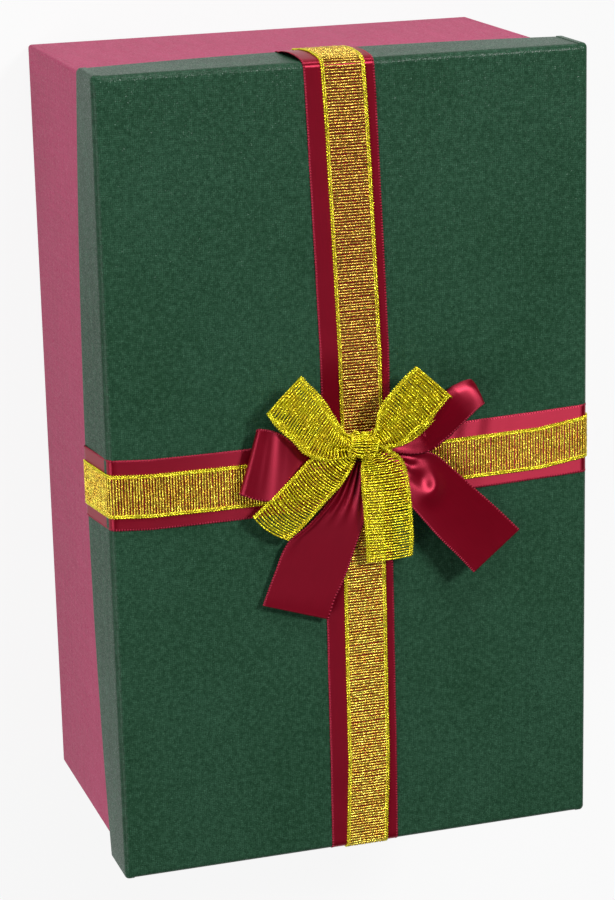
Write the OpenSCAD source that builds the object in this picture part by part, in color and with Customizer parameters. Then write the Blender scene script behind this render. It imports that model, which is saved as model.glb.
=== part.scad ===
// Rectangular two-part gift box: a rigid paper-covered base, a lift-off lid, two crossed
// double ribbon bands stretched over the lid, and a double bow tied where the bands cross.
// Millimetres, +Z up. X runs across the box and Y along it. The origin is the centre of the
// base's underside, and the lid is shown closed.

/* [Box] */
// Length of the lid, along Y
lid_l = 290; // [220:1:400]
// Width of the lid, along X
lid_w = 179; // [150:1:260]
// Height of the closed box, from the base's underside to the lid's face
box_h = 112; // [70:1:180]
// Depth of the lid's rim
rim_h = 22.5; // [18:0.5:50]
// Radius of the box's rounded edges
edge_r = 1.2; // [0.8:0.1:2]

/* [Board and paper] */
// Thickness of the greyboard
board_t = 1.5; // [1:0.1:2.5]
// Thickness of the covering and lining papers
paper_t = 0.2; // [0.1:0.05:0.3]
// Thickness of the gummed paper stays that hold the board's corners
stay_t = 0.1; // [0.05:0.05:0.2]
// How far a corner stay reaches along each wall
stay_leg = 14; // [8:1:30]
// How far a stay stops short of the board's free and folded edges
stay_end = 3; // [2:0.5:8]
// How far the covering paper turns in over a wall's free edge
turn_in = 15; // [8:1:16]
// Gap left round the edges of each lining sheet
liner_gap = 0.3; // [0.1:0.1:1]

/* [Ribbon bands] */
// Width of the red satin ribbon
red_w = 25.4; // [16:0.1:32]
// Thickness of the red satin ribbon
red_t = 0.25; // [0.15:0.05:0.4]
// Width of the gold metallic ribbon
gold_w = 16; // [8:0.5:20]
// Thickness of the gold metallic ribbon
gold_t = 0.3; // [0.15:0.05:0.4]
// How far a ribbon's end is tucked up inside the lid's rim
band_tuck = 12; // [6:1:14]
// Thickness of the glue line under the tucked ends
glue_t = 0.1; // [0.05:0.05:0.2]
// Free play between the tucked ribbon and the base
slip = 0.25; // [0.2:0.05:0.6]
// Place of the long band's centre line, along X
long_band_x = 0.5; // [-20:0.5:20]
// Place of the cross band's centre line, along Y
cross_band_y = 0; // [-20:0.5:20]
// How far the gold ribbon lies to the right of the long red band's centre
long_gold_shift = 2; // [-3:0.5:3]
// How far the gold ribbon lies below the cross red band's centre
cross_gold_shift = -1; // [-3:0.5:3]

/* [Bow] */
// Place of the bow's knot, along X
bow_x = 0; // [-20:0.5:20]
// Place of the bow's knot, along Y
bow_y = 10; // [-20:0.5:20]
// Thickness of the glue pad under the bow
bow_pad_t = 0.4; // [0.2:0.1:1]
// Air between two ribbons that lie one above the other at the bow's waist
layer_gap = 0.3; // [0.2:0.05:0.6]
// Radius of the gathered waist of the red bow
waist_r = 6.5; // [4:0.5:8]
// Radius of the gold knot's roll
knot_r = 4.2; // [3:0.2:5]
// Length of the gold knot's roll, along X
knot_l = 17; // [12:0.5:20]
// Width of a red ribbon where it is gathered into the waist
red_root_w = 11; // [6:0.5:14]
// Width of a gold ribbon where it is gathered into the knot
gold_root_w = 8; // [5:0.5:10]
// Distance from the knot at which a ribbon has opened to its full width
open_at = 21; // [16:0.5:26]
// Reach of the left red loop from the knot's centre
red_loop_left_reach = 44; // [36:0.5:55]
// Reach of the right red loop from the knot's centre
red_loop_right_reach = 48; // [40:0.5:58]
// Reach of the left gold loop from the knot's centre
gold_loop_left_reach = 37; // [30:0.5:45]
// Reach of the right gold loop from the knot's centre
gold_loop_right_reach = 34; // [30:0.5:42]
// Reach of the left red tail from the knot's centre
red_tail_left_reach = 64; // [50:0.5:75]
// Reach of the right red tail from the knot's centre
red_tail_right_reach = 70; // [50:0.5:75]
// Reach of the left gold tail from the knot's centre
gold_tail_left_reach = 44; // [36:0.5:60]
// Reach of the right gold tail from the knot's side
gold_tail_right_reach = 42; // [36:0.5:60]

/* [Hidden] */
$fn = 48;

// Colours
greyboard = [0.55, 0.52, 0.48];
kraft = [0.72, 0.58, 0.40];
burgundy = [0.58, 0.22, 0.36];
green = [0.18, 0.33, 0.25];
cream = [0.90, 0.87, 0.80];
crimson = [0.50, 0.02, 0.10];
gold = [0.80, 0.66, 0.12];
glue = [0.92, 0.90, 0.82];

// Box: walls, clearances and levels
cut = 1;                                      // how far a cut runs past the face it opens
skin_t = paper_t + stay_t;                    // covering paper and the line that the stays lie in
wall_t = skin_t + board_t + paper_t;          // whole wall where the covering turns in
fit_gap = glue_t + red_t + gold_t + slip;     // all round, between the lid and the base
base_l = lid_l - 2 * (wall_t + fit_gap);
base_w = lid_w - 2 * (wall_t + fit_gap);
rim_z = box_h - rim_h;                        // lower edge of the lid
base_h = box_h - 2 * paper_t - board_t;       // the lid's lining rests on the base's top edge
board_r = edge_r - skin_t;
inner_r = max(board_r - board_t, 0.2);

// Bands: one pair of ribbons lies on the other where they cross
pair_t = red_t + gold_t;
bridge = red_w / 2 + 1.5;                     // half the length that is lifted over the crossing

// Bow: ribbons leave the waist one above the other, each on its own level
bow_z = box_h + 2 * pair_t + bow_pad_t;
layer = max(red_t, gold_t) + layer_gap;
waist_layers = 6;                             // five levels of ribbon, and the thread above them
waist_h = waist_layers * layer;
knot_z = bow_z + waist_h + knot_r;
root_gap = 0.1;                               // between the waist and the red ribbons that leave it
root_s = waist_r + root_gap;
knot_lead = 2.4;                              // the gold ribbons start this far out from the knot's roll
gold_root_s = knot_r + knot_lead;
thread_r = 0.2;
function level(i) = bow_z + (i + 0.5) * layer;
function gold_level(i) = knot_z - 2 * layer + i * layer;

// Paths of the bow's ribbons, in the plane of distance from the knot and height
run_steps = 12;
bend_steps = 12;
function ease(u) = (1 - cos(180 * u)) / 2;
function reversed(list) = [for (i = [len(list) - 1 : -1 : 0]) list[i]];
function run(s0, s1, z0, z1) =
    [for (i = [0 : run_steps]) let (u = i / run_steps) [s0 + (s1 - s0) * u, z0 + (z1 - z0) * ease(u)]];
function bend(centre, r) =
    [for (i = [1 : bend_steps - 1]) let (a = -90 + 180 * i / bend_steps) centre + r * [cos(a), sin(a)]];
function loop_path(start, reach, z_low, z_high, z_end, r) = concat(
    run(start, reach - r, z_low, z_end - r),
    bend([reach - r, z_end], r),
    reversed(run(start, reach - r, z_high, z_end + r))
);

// Outline of a ribbon of thickness t that follows a path
function along(p, i) =
    let (d = p[min(i + 1, len(p) - 1)] - p[max(i - 1, 0)]) d / norm(d);
function beside(p, off) = [for (i = [0 : len(p) - 1]) let (d = along(p, i)) p[i] + off * [-d.y, d.x]];
function ribbon_outline(p, t) = concat(beside(p, t / 2), reversed(beside(p, -t / 2)));

// ---- Shapes ----

// Rectangle with rounded corners
module round_rect(w, l, r) {
    square([w - 2 * r, l], center = true);
    square([w, l - 2 * r], center = true);
    for (x = [-1, 1], y = [-1, 1])
        translate([x * (w / 2 - r), y * (l / 2 - r)]) circle(r);
}

module slab(w, l, r, z0, z1) {
    translate([0, 0, z0]) linear_extrude(z1 - z0) round_rect(w, l, r);
}

// Ring of wall between two rounded rectangles, t thick
module wall_ring(w, l, r, r_in, t, z0, z1) {
    translate([0, 0, z0]) linear_extrude(z1 - z0) difference() {
        round_rect(w, l, r);
        round_rect(w - 2 * t, l - 2 * t, r_in);
    }
}

// Board tray: a panel from z0 to z1 with a wall from z0 to wall_z, above it or below it
module board_tray(w, l, z0, z1, wall_z) {
    slab(w, l, board_r, z0, z1);
    wall_ring(w, l, board_r, inner_r, board_t, min(z0, wall_z), max(z1, wall_z));
}

// L-shaped stays on a board tray's four corners
module corner_stays(w, l, z0, z1) {
    color(kraft) intersection() {
        wall_ring(w + 2 * stay_t, l + 2 * stay_t, board_r + stay_t, board_r, stay_t, z0, z1);
        for (x = [-1, 1], y = [-1, 1])
            translate([x * w / 2, y * l / 2, (z0 + z1) / 2])
                cube([2 * stay_leg, 2 * stay_leg, z1 - z0 + 2 * cut], center = true);
    }
}

// Side view of a band: over the lid's face, down the rim, round its lower edge and up inside.
// half is half the lid's size along the band, under is what lies between band and lid, and
// lift is how far the middle rises over another band.
module band_outline(half, t, under, lift) {
    out = half + under + t;
    low = rim_z - under - t;
    inside = half - wall_t - glue_t - under - t;
    difference() {
        union() {
            // over the face and down both sides
            difference() {
                translate([-out, low]) square([2 * out, box_h + under + t - low - edge_r]);
                translate([-out + t, low + t]) square([2 * (out - t), box_h + under - low]);
            }
            translate([-out + edge_r, box_h + under]) square([2 * (out - edge_r), t]);
            for (side = [-1, 1])
                translate([side * (out - edge_r - t), box_h + under - edge_r]) edge_bend(side, t);
            // up inside the rim
            for (side = [-1, 1])
                translate([side * (inside + t / 2) - t / 2, low]) square([t, band_tuck + under + t]);
        }
        translate([-inside, low - cut]) square([2 * inside, t + 2 * cut]);
        if (lift > 0)
            translate([-bridge - under, box_h + under - cut]) square([2 * (bridge + under), t + 2 * cut]);
    }
    if (lift > 0) {
        translate([-bridge - under - t, box_h + lift + under]) square([2 * (bridge + under + t), t]);
        for (side = [-1, 1])
            translate([side * (bridge + under + t / 2) - t / 2, box_h + under]) square([t, lift + t]);
    }
}

// Quarter bend of a band round the lid's top edge
module edge_bend(side, t) {
    intersection() {
        difference() {
            circle(edge_r + t);
            circle(edge_r);
        }
        translate([side > 0 ? 0 : -edge_r - t, 0]) square(edge_r + t);
    }
}

// A band's outline stands in the Y-Z plane for the long bands and in X-Z for the cross bands
module long_band(w, t, under, x) {
    translate([x - w / 2, 0, 0]) rotate([90, 0, 90]) linear_extrude(w)
        band_outline(lid_l / 2, t, under, pair_t);
}

module cross_band(w, t, under, y) {
    translate([0, y + w / 2, 0]) rotate([90, 0, 0]) linear_extrude(w)
        band_outline(lid_w / 2, t, under, 0);
}

// One ribbon of the bow: a path swept across the ribbon's width, gathered towards its start
module bow_ribbon(path, w, t, start, root_w, reach) {
    intersection() {
        rotate([90, 0, 0]) linear_extrude(w, center = true) polygon(ribbon_outline(path, t));
        translate([0, 0, box_h]) linear_extrude(2 * knot_z - box_h) polygon([
            [start - cut, -root_w / 2], [open_at, -w / 2], [reach + cut, -w / 2],
            [reach + cut, w / 2], [open_at, w / 2], [start - cut, root_w / 2]
        ]);
    }
}

module from_knot(angle) {
    translate([bow_x, bow_y, 0]) rotate([0, 0, angle]) children();
}

// ---- Base ----

module base_board() {
    w = base_w - 2 * skin_t;
    l = base_l - 2 * skin_t;
    color(greyboard) board_tray(w, l, paper_t, paper_t + board_t, base_h - paper_t);
}

module base_corner_stays() {
    z0 = paper_t + stay_end;
    z1 = base_h - paper_t - stay_end;
    corner_stays(base_w - 2 * skin_t, base_l - 2 * skin_t, z0, z1);
}

// Covering paper: a sheet under the floor, up the walls, over their edge and down inside
module base_wrap() {
    w = base_w - 2 * (skin_t + board_t);
    l = base_l - 2 * (skin_t + board_t);
    color(burgundy) {
        slab(base_w, base_l, edge_r, 0, paper_t);
        wall_ring(base_w, base_l, edge_r, edge_r - paper_t, paper_t, 0, base_h);
        wall_ring(base_w, base_l, edge_r, inner_r, wall_t, base_h - paper_t, base_h);
        wall_ring(w, l, inner_r, inner_r, paper_t, base_h - turn_in, base_h);
    }
}

module base_floor_liner() {
    inset = skin_t + board_t + liner_gap;
    z0 = paper_t + board_t;
    color(cream) slab(base_w - 2 * inset, base_l - 2 * inset, inner_r, z0, z0 + paper_t);
}

module base_wall_liner() {
    w = base_w - 2 * (skin_t + board_t);
    l = base_l - 2 * (skin_t + board_t);
    z0 = 2 * paper_t + board_t + liner_gap;
    color(cream) wall_ring(w, l, inner_r, inner_r, paper_t, z0, base_h - turn_in - liner_gap);
}

// ---- Lid ----

// Solid block with the lid's rounded upright and top edges
module soft_block(w, l, r, z0, z1) {
    slab(w, l, r, z0, z1 - r);
    translate([0, 0, z1 - r / 2]) cube([w - 2 * r, l - 2 * r, r], center = true);
    for (x = [-1, 1])
        translate([x * (w / 2 - r), 0, z1 - r]) rotate([90, 0, 0])
            cylinder(h = l - 2 * r, r = r, center = true);
    for (y = [-1, 1])
        translate([0, y * (l / 2 - r), z1 - r]) rotate([0, 90, 0])
            cylinder(h = w - 2 * r, r = r, center = true);
    for (x = [-1, 1], y = [-1, 1])
        translate([x * (w / 2 - r), y * (l / 2 - r), z1 - r]) sphere(r);
}

module lid_board() {
    w = lid_w - 2 * skin_t;
    l = lid_l - 2 * skin_t;
    color(greyboard) difference() {
        soft_block(w, l, board_r, rim_z + paper_t, box_h - paper_t);
        slab(w - 2 * board_t, l - 2 * board_t, inner_r, rim_z - cut, box_h - paper_t - board_t);
    }
}

module lid_corner_stays() {
    z0 = rim_z + paper_t + stay_end;
    z1 = box_h - paper_t - stay_end;
    corner_stays(lid_w - 2 * skin_t, lid_l - 2 * skin_t, z0, z1);
}

// Covering paper: over the face, down the rim, round its lower edge and up inside
module lid_wrap() {
    w = lid_w - 2 * (skin_t + board_t);
    l = lid_l - 2 * (skin_t + board_t);
    color(green) {
        difference() {
            soft_block(lid_w, lid_l, edge_r, rim_z, box_h);
            soft_block(
                lid_w - 2 * paper_t, lid_l - 2 * paper_t, edge_r - paper_t,
                rim_z - cut, box_h - paper_t
            );
        }
        wall_ring(lid_w, lid_l, edge_r, inner_r, wall_t, rim_z, rim_z + paper_t);
        wall_ring(w, l, inner_r, inner_r, paper_t, rim_z, rim_z + turn_in);
    }
}

module lid_liner() {
    inset = skin_t + board_t + liner_gap;
    z1 = box_h - paper_t - board_t;
    color(cream) slab(lid_w - 2 * inset, lid_l - 2 * inset, inner_r, z1 - paper_t, z1);
}

// ---- Ribbon bands ----

module cross_band_red() {
    color(crimson) cross_band(red_w, red_t, 0, cross_band_y);
}

module cross_band_gold() {
    color(gold) cross_band(gold_w, gold_t, red_t, cross_band_y + cross_gold_shift);
}

module long_band_red() {
    color(crimson) long_band(red_w, red_t, 0, long_band_x);
}

module long_band_gold() {
    color(gold) long_band(gold_w, gold_t, red_t, long_band_x + long_gold_shift);
}

// Glue line between the rim's inside and each tucked end
module band_end_glue() {
    pad_w = red_w - 4;
    color(glue) {
        for (side = [-1, 1])
            translate([long_band_x, side * (lid_l / 2 - wall_t - glue_t / 2), rim_z + band_tuck / 2])
                cube([pad_w, glue_t, band_tuck - 2], center = true);
        for (side = [-1, 1])
            translate([side * (lid_w / 2 - wall_t - glue_t / 2), cross_band_y, rim_z + band_tuck / 2])
                cube([glue_t, pad_w, band_tuck - 2], center = true);
    }
}

// ---- Bow ----

module bow_glue_pad() {
    color(glue) translate([bow_x, bow_y - waist_r / 3, bow_z - bow_pad_t])
        cylinder(h = bow_pad_t, r = waist_r * 0.6);
}

// The red satin pleated together under the knot
module red_waist() {
    color(crimson) translate([bow_x, bow_y, bow_z]) cylinder(h = waist_h, r = waist_r);
}

// Thread tied round the waist, above the red ribbons
module waist_thread() {
    color(cream) translate([bow_x, bow_y, bow_z + waist_h - thread_r])
        rotate_extrude() translate([waist_r + thread_r, 0]) circle(thread_r, $fn = 16);
}

module red_tail_left() {
    path = concat(
        [[root_s, level(0)]],
        run(open_at + 5, red_tail_left_reach, level(0), level(0) + 1.5)
    );
    color(crimson) from_knot(247)
        bow_ribbon(path, red_w, red_t, root_s, red_root_w, red_tail_left_reach);
}

module red_tail_right() {
    path = concat(
        [[root_s, level(1)]],
        run(open_at + 5, red_tail_right_reach, level(1), level(1) + 10)
    );
    color(crimson) from_knot(-40)
        bow_ribbon(path, red_w, red_t, root_s, red_root_w, red_tail_right_reach);
}

module red_loop_left() {
    path = loop_path(root_s, red_loop_left_reach, level(2), level(4), bow_z + 4, 2.8);
    color(crimson) from_knot(183)
        bow_ribbon(path, red_w, red_t, root_s, red_root_w, red_loop_left_reach);
}

module red_loop_right() {
    path = loop_path(root_s, red_loop_right_reach, level(2), level(4), bow_z + 4, 2.8);
    color(crimson) from_knot(18)
        bow_ribbon(path, red_w, red_t, root_s, red_root_w, red_loop_right_reach);
}

// The gold ribbon's roll over the waist
module gold_knot() {
    half = knot_l / 2 - knot_r;
    color(gold) translate([bow_x, bow_y, knot_z]) {
        rotate([0, 90, 0]) cylinder(h = 2 * half, r = knot_r, center = true);
        for (side = [-1, 1]) translate([side * half, 0, 0]) sphere(knot_r);
    }
}

module gold_tail_left() {
    path = run(gold_root_s, gold_tail_left_reach, gold_level(0), gold_level(0) + 2);
    color(gold) from_knot(219)
        bow_ribbon(path, gold_w, gold_t, gold_root_s, gold_root_w, gold_tail_left_reach);
}

module gold_tail_right() {
    path = run(gold_root_s, gold_tail_right_reach, gold_level(1), gold_level(1) - 2);
    color(gold) from_knot(-77)
        bow_ribbon(path, gold_w, gold_t, gold_root_s, gold_root_w, gold_tail_right_reach);
}

module gold_loop_left() {
    path = loop_path(gold_root_s, gold_loop_left_reach, gold_level(2), gold_level(4), knot_z + 6, 3.6);
    color(gold) from_knot(140)
        bow_ribbon(path, gold_w, gold_t, gold_root_s, gold_root_w, gold_loop_left_reach);
}

module gold_loop_right() {
    path = loop_path(gold_root_s, gold_loop_right_reach, gold_level(2), gold_level(4), knot_z + 6, 3.6);
    color(gold) from_knot(38)
        bow_ribbon(path, gold_w, gold_t, gold_root_s, gold_root_w, gold_loop_right_reach);
}

base_board();
base_corner_stays();
base_wrap();
base_floor_liner();
base_wall_liner();
lid_board();
lid_corner_stays();
lid_wrap();
lid_liner();
cross_band_red();
cross_band_gold();
long_band_red();
long_band_gold();
band_end_glue();
bow_glue_pad();
red_waist();
waist_thread();
red_tail_left();
red_tail_right();
red_loop_left();
red_loop_right();
gold_knot();
gold_tail_left();
gold_tail_right();
gold_loop_left();
gold_loop_right();
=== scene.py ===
"""A rigid two-part gift box with crossed double ribbon bands and a double bow.

Lengths are in millimetres until a mesh is made, and MM turns them into metres. Heights of the
bow's points are above the lid's face. Every new piece replaces the CAD node that it stands for,
and the nodes in KEPT are shown as they come from the frame.
"""

import math

import bpy
import numpy as np
from mathutils import Matrix, Vector


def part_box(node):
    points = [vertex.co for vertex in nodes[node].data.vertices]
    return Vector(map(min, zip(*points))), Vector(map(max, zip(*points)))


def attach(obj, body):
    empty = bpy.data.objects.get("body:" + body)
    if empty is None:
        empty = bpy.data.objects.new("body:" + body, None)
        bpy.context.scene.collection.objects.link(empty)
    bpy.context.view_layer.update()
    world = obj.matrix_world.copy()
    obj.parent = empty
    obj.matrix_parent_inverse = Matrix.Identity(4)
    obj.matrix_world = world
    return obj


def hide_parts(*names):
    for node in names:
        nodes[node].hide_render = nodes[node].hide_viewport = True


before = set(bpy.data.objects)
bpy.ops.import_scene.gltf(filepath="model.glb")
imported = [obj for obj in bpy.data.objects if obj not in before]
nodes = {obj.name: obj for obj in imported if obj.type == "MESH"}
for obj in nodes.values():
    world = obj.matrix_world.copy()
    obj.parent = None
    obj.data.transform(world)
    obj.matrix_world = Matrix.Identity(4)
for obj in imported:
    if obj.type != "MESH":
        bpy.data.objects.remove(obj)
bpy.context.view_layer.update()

MM = 0.001
rng = np.random.default_rng(7)


def box_mm(node):
    """Lowest and highest corner of a CAD node, in millimetres."""
    low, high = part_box(node)
    return np.array(low) / MM, np.array(high) / MM


# ---- Sizes taken from the frame ----
lid_low, lid_high = box_mm("lid_wrap")
base_low, base_high = box_mm("base_wrap")
board_high = box_mm("lid_board")[1]
LID_W, LID_L = (lid_high - lid_low)[:2]
BASE_W, BASE_L, BASE_H = base_high - base_low
FACE_Z, RIM_Z = lid_high[2], lid_low[2]
RIM_H = FACE_Z - RIM_Z
PAPER_T = FACE_Z - board_high[2]
SKIN_T = lid_high[0] - board_high[0]
LINER_TOP = box_mm("lid_liner")[1][2]
BOARD_T = board_high[2] - LINER_TOP
WALL_T = SKIN_T + BOARD_T + PAPER_T

# ---- Sizes of the visual model ----
CORNER_R = 1.3        # rounded upright corners of the box
FACE_CORNER = 3.0     # the same corners where the face begins
EDGE_R = 2.3          # rounding between the lid's face and its rims
TURN_IN = 15.0        # covering paper turned in over a wall's edge
RED_W, RED_T = 25.4, 0.25
GOLD_W = 16.0
CROSS_GOLD_W, LONG_GOLD_W = 15.6, 15.8    # drawn widths of the stretched gold bands
BAND_TUCK = 12.0      # ribbon end inside the rim
RIM_BOW_LONG = 3.0    # the lid's rims spread outwards at mid-length, at their lower edge
RIM_BOW_SHORT = 1.3
LAP_W, LAP_T = 3.35, 0.24    # the covering paper's laps beside the lid's corners
SEAM_AT = 0.0089      # the base's seams, as a share along a short side
SEAM_HALF, SEAM_DEPTH = 0.0004, 0.22    # half of its width, as a share, and its depth
LID_CAP, BASE_CAP = 85.0, 82.0    # inset of the innermost loops, which a cap closes
RIB_PITCH = 1.03      # distance between the gold ribbon's ribs
RIB_END = 0.03        # where a rib ends, as a share of the ribbon's width
BEAD = 1.0            # length of one turn of the film along a rib
STITCH_PITCH = 1.0    # distance between the stitches of the satin's edge
RED_UP, GOLD_UP = 0.14, 0.5    # height of the bands' middle surfaces above the paper
CROSSING_LIFT = 0.85  # the long band rises by this much over the cross band
LIFT_FROM, LIFT_FADE = 24, 10       # how far from the crossing it starts to rise, and over what length
RIPPLE_END, RIPPLE_FADE = 4, 6      # where a band's ripple ends before the lid's edge, and fades
WAIST_Y, WAIST_UP = 10.0, 3.35    # the waist's axis: its place along Y, its height above the face
KNOT_AT = (0.2, 10.6, 8.4)        # the knot's middle, its height above the face


# ---- Colours and materials ----

def srgb(red, green, blue):
    """An 8-bit display colour as a linear RGBA value."""
    channel = [c / 255 for c in (red, green, blue)]
    linear = [c / 12.92 if c <= 0.04045 else ((c + 0.055) / 1.055) ** 2.4 for c in channel]
    return (*linear, 1.0)


class Nodes:
    """A new material's node tree, with short calls for the nodes that this script uses."""

    def __init__(self, name, **shader):
        self.material = bpy.data.materials.new(name)
        self.material.use_nodes = True
        self.tree = self.material.node_tree
        self.shader = self.tree.nodes["Principled BSDF"]
        for socket, value in shader.items():
            self.shader.inputs[socket.replace("_", " ").title().replace("Ior", "IOR")].default_value = value

    def add(self, kind, inputs=None, **settings):
        node = self.tree.nodes.new(kind)
        for key, value in settings.items():
            setattr(node, key, value)
        for key, value in (inputs or {}).items():
            if isinstance(value, bpy.types.NodeSocket):
                self.tree.links.new(value, node.inputs[key])
            else:
                node.inputs[key].default_value = value
        return node

    def place(self, stretch=(1, 1, 1)):
        """Object coordinates in millimetres, stretched along the axes."""
        coords = self.add("ShaderNodeTexCoord").outputs["Object"]
        scale = [s / MM for s in stretch]
        return self.add("ShaderNodeMapping", {"Vector": coords, "Scale": scale}).outputs[0]

    def noise(self, where, scale, detail=2.0, rough=0.5):
        return self.add("ShaderNodeTexNoise", {
            "Vector": where, "Scale": scale, "Detail": detail, "Roughness": rough,
        }).outputs["Fac"]

    def maths(self, operation, a, b=0.0, c=0.0):
        return self.add("ShaderNodeMath", {0: a, 1: b, 2: c}, operation=operation).outputs[0]

    def spread(self, value, low, high, to_low=0.0, to_high=1.0):
        """Value from low to high, as a share from to_low to to_high, held between them."""
        return self.add("ShaderNodeMapRange", {
            "Value": value, "From Min": low, "From Max": high, "To Min": to_low, "To Max": to_high,
        }).outputs[0]

    def blend(self, share, a, b):
        return self.add("ShaderNodeMix", {0: share, 6: a, 7: b}, data_type="RGBA").outputs[2]

    def bump(self, height, depth, under=None):
        inputs = {"Height": height, "Distance": depth * MM, "Strength": 1.0}
        if under is not None:
            inputs["Normal"] = under
        return self.add("ShaderNodeBump", inputs).outputs[0]

    def feed(self, **links):
        for socket, value in links.items():
            self.tree.links.new(value, self.shader.inputs[socket.replace("_", " ").title()])
        return self.material


def flakes(m, size, tilt, share):
    """A normal that leans another way in each small cell, in that share of the cells."""
    cells = m.add("ShaderNodeTexVoronoi", {"Vector": m.place(), "Scale": 1 / size})
    centred = {0: cells.outputs["Color"], 1: (0.5, 0.5, 0.5)}
    lean = m.add("ShaderNodeVectorMath", centred, operation="SUBTRACT")
    chosen = m.add("ShaderNodeTexWhiteNoise", {"Vector": cells.outputs["Position"]}).outputs["Value"]
    strength = m.maths("MULTIPLY_ADD", m.maths("GREATER_THAN", chosen, 1 - share), tilt * 0.85, tilt * 0.15)
    lean = m.add("ShaderNodeVectorMath", {0: lean.outputs[0], "Scale": strength}, operation="SCALE")
    plain = m.add("ShaderNodeNewGeometry").outputs["Normal"]
    turned = m.add("ShaderNodeVectorMath", {0: plain, 1: lean.outputs[0]}, operation="ADD")
    turned = m.add("ShaderNodeVectorMath", {0: turned.outputs[0]}, operation="NORMALIZE").outputs[0]
    return turned, chosen


def linen(m, pitch):
    """Height of a fine woven emboss: threads both ways, uneven in strength."""
    where = m.place()
    threads = [
        m.add("ShaderNodeTexWave", {
            "Vector": where, "Scale": 0.314 / pitch, "Distortion": 2.0, "Detail Scale": 0.5,
        }, bands_direction=way).outputs["Fac"]
        for way in ("X", "Y")
    ]
    uneven = m.spread(m.noise(where, 0.6, 3), 0.35, 0.7)
    return m.maths("MULTIPLY", m.maths("ADD", *threads), uneven)


def green_paper():
    """Dark green pearl paper with a linen emboss and glitter flakes, whose glint is partly leaning normals
    and partly a painted glint in a lighter colour.
    """
    m = Nodes("green_pearl_paper", metallic=0.0, specular_ior_level=0.05, coat_weight=0.14,
              coat_roughness=0.2)
    weave = linen(m, 0.7)
    grain = m.noise(m.place(), 2.2, 2, 0.8)
    cloud = m.noise(m.place(), 0.02, 3, 0.6)
    normal, chosen = flakes(m, 0.3, 0.42, 0.5)
    base = m.blend(m.spread(cloud, 0.3, 0.7), srgb(38, 73, 51), srgb(46, 82, 61))
    base = m.blend(m.spread(grain, 0.35, 0.65, 0.0, 0.8), base, srgb(20, 48, 32))
    base = m.blend(m.spread(weave, 0.2, 1.4, 0.0, 0.42), base, srgb(70, 112, 88))
    # Painted glint: a few flake cells are coloured a lighter green
    base = m.blend(m.spread(chosen, 0.93, 0.99, 0.0, 0.22), base, srgb(96, 140, 114))
    rough = m.spread(chosen, 0.5, 0.55, 0.44, 0.36)
    height = m.maths("ADD", m.maths("MULTIPLY", weave, 0.5), m.maths("MULTIPLY", grain, 0.4))
    turned = m.bump(height, 0.04, normal)
    return m.feed(base_color=base, roughness=rough, normal=turned, coat_normal=turned)


def streaked_paper(name, dark, light, glint):
    """Coloured pearl paper for the base, brushed along its length."""
    m = Nodes(name, roughness=0.45, metallic=0.0, specular_ior_level=0.08)
    streaks = m.noise(m.place((1.6, 0.06, 1.6)), 1.0, 4, 0.65)
    uprights = m.noise(m.place((0.2, 1.4, 0.03)), 1.0, 4, 0.65)
    cloud = m.noise(m.place(), 0.012, 2)
    mixed = m.maths("ADD", m.maths("MULTIPLY", streaks, 0.6), m.maths("MULTIPLY", uprights, 0.4))
    normal, chosen = flakes(m, 0.4, 0.5, 0.3)
    base = m.blend(m.spread(mixed, 0.35, 0.68), dark, light)
    base = m.blend(m.spread(cloud, 0.35, 0.7, 0.0, 0.3), base, light)
    base = m.blend(m.spread(chosen, 0.9, 0.98, 0.0, 0.25), base, glint)
    return m.feed(base_color=base, normal=m.bump(mixed, 0.04, normal))


def plain_paper(name, colour, fleck, rough=0.85):
    """Uncoated paper or board with fibres and flecks."""
    m = Nodes(name, roughness=rough, specular_ior_level=0.25)
    fibre = m.noise(m.place((1, 0.3, 1)), 1.2, 5, 0.7)
    base = m.blend(m.spread(fibre, 0.35, 0.7), colour, fleck)
    return m.feed(base_color=base, normal=m.bump(fibre, 0.06))


def satin(name, dark, light, rough=0.4):
    """Satin ribbon: threads run along the ribbon, so its shine spreads across it."""
    m = Nodes(name, roughness=rough, specular_ior_level=1.0, ior=1.9, anisotropic=0.95,
              specular_tint=(1.0, 0.09, 0.17, 1.0))
    across = m.add("ShaderNodeUVMap", uv_map="ribbon").outputs[0]
    threads = m.add("ShaderNodeMapping", {"Vector": across, "Scale": (5.0, 0.12, 1)}).outputs[0]
    thread = m.noise(threads, 1.0, 3, 0.6)
    cloud = m.noise(m.place(), 0.08, 2)
    base = m.blend(m.spread(thread, 0.3, 0.7), dark, light)
    base = m.blend(m.spread(cloud, 0.35, 0.7, 0.0, 0.35), base, dark)
    tangent = m.add("ShaderNodeTangent", direction_type="UV_MAP", uv_map="ribbon").outputs[0]
    return m.feed(base_color=base, tangent=tangent, normal=m.bump(thread, 0.01))


def metal_thread(name, colour, warm, rough=0.26, painted_shade_colour=None):
    """Lurex: metallic film wound round a thread, in small flat facets that glint one by one.

    Its last argument is painted shade: the darker, browner colour that the gold turns to towards the lid's
    upper end.
    """
    m = Nodes(name, metallic=0.65, specular_ior_level=0.6, roughness=rough)
    drift = m.noise(m.place(), 0.3, 3, 0.6)
    normal, chosen = flakes(m, 0.5, 1.1, 0.6)
    base = m.blend(m.spread(drift, 0.35, 0.65), colour, warm)
    if painted_shade_colour is not None:
        # Painted shade: the gold darkens and browns towards the lid's upper end
        up = m.add("ShaderNodeSeparateXYZ", {0: m.place()}).outputs["Y"]
        base = m.blend(m.spread(up, -30, 35, 0.0, 0.75), base, painted_shade_colour)
    base = m.blend(m.spread(chosen, 0.0, 0.5, 0.45, 0.0), base, warm)
    return m.feed(base_color=base, normal=normal)


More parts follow.
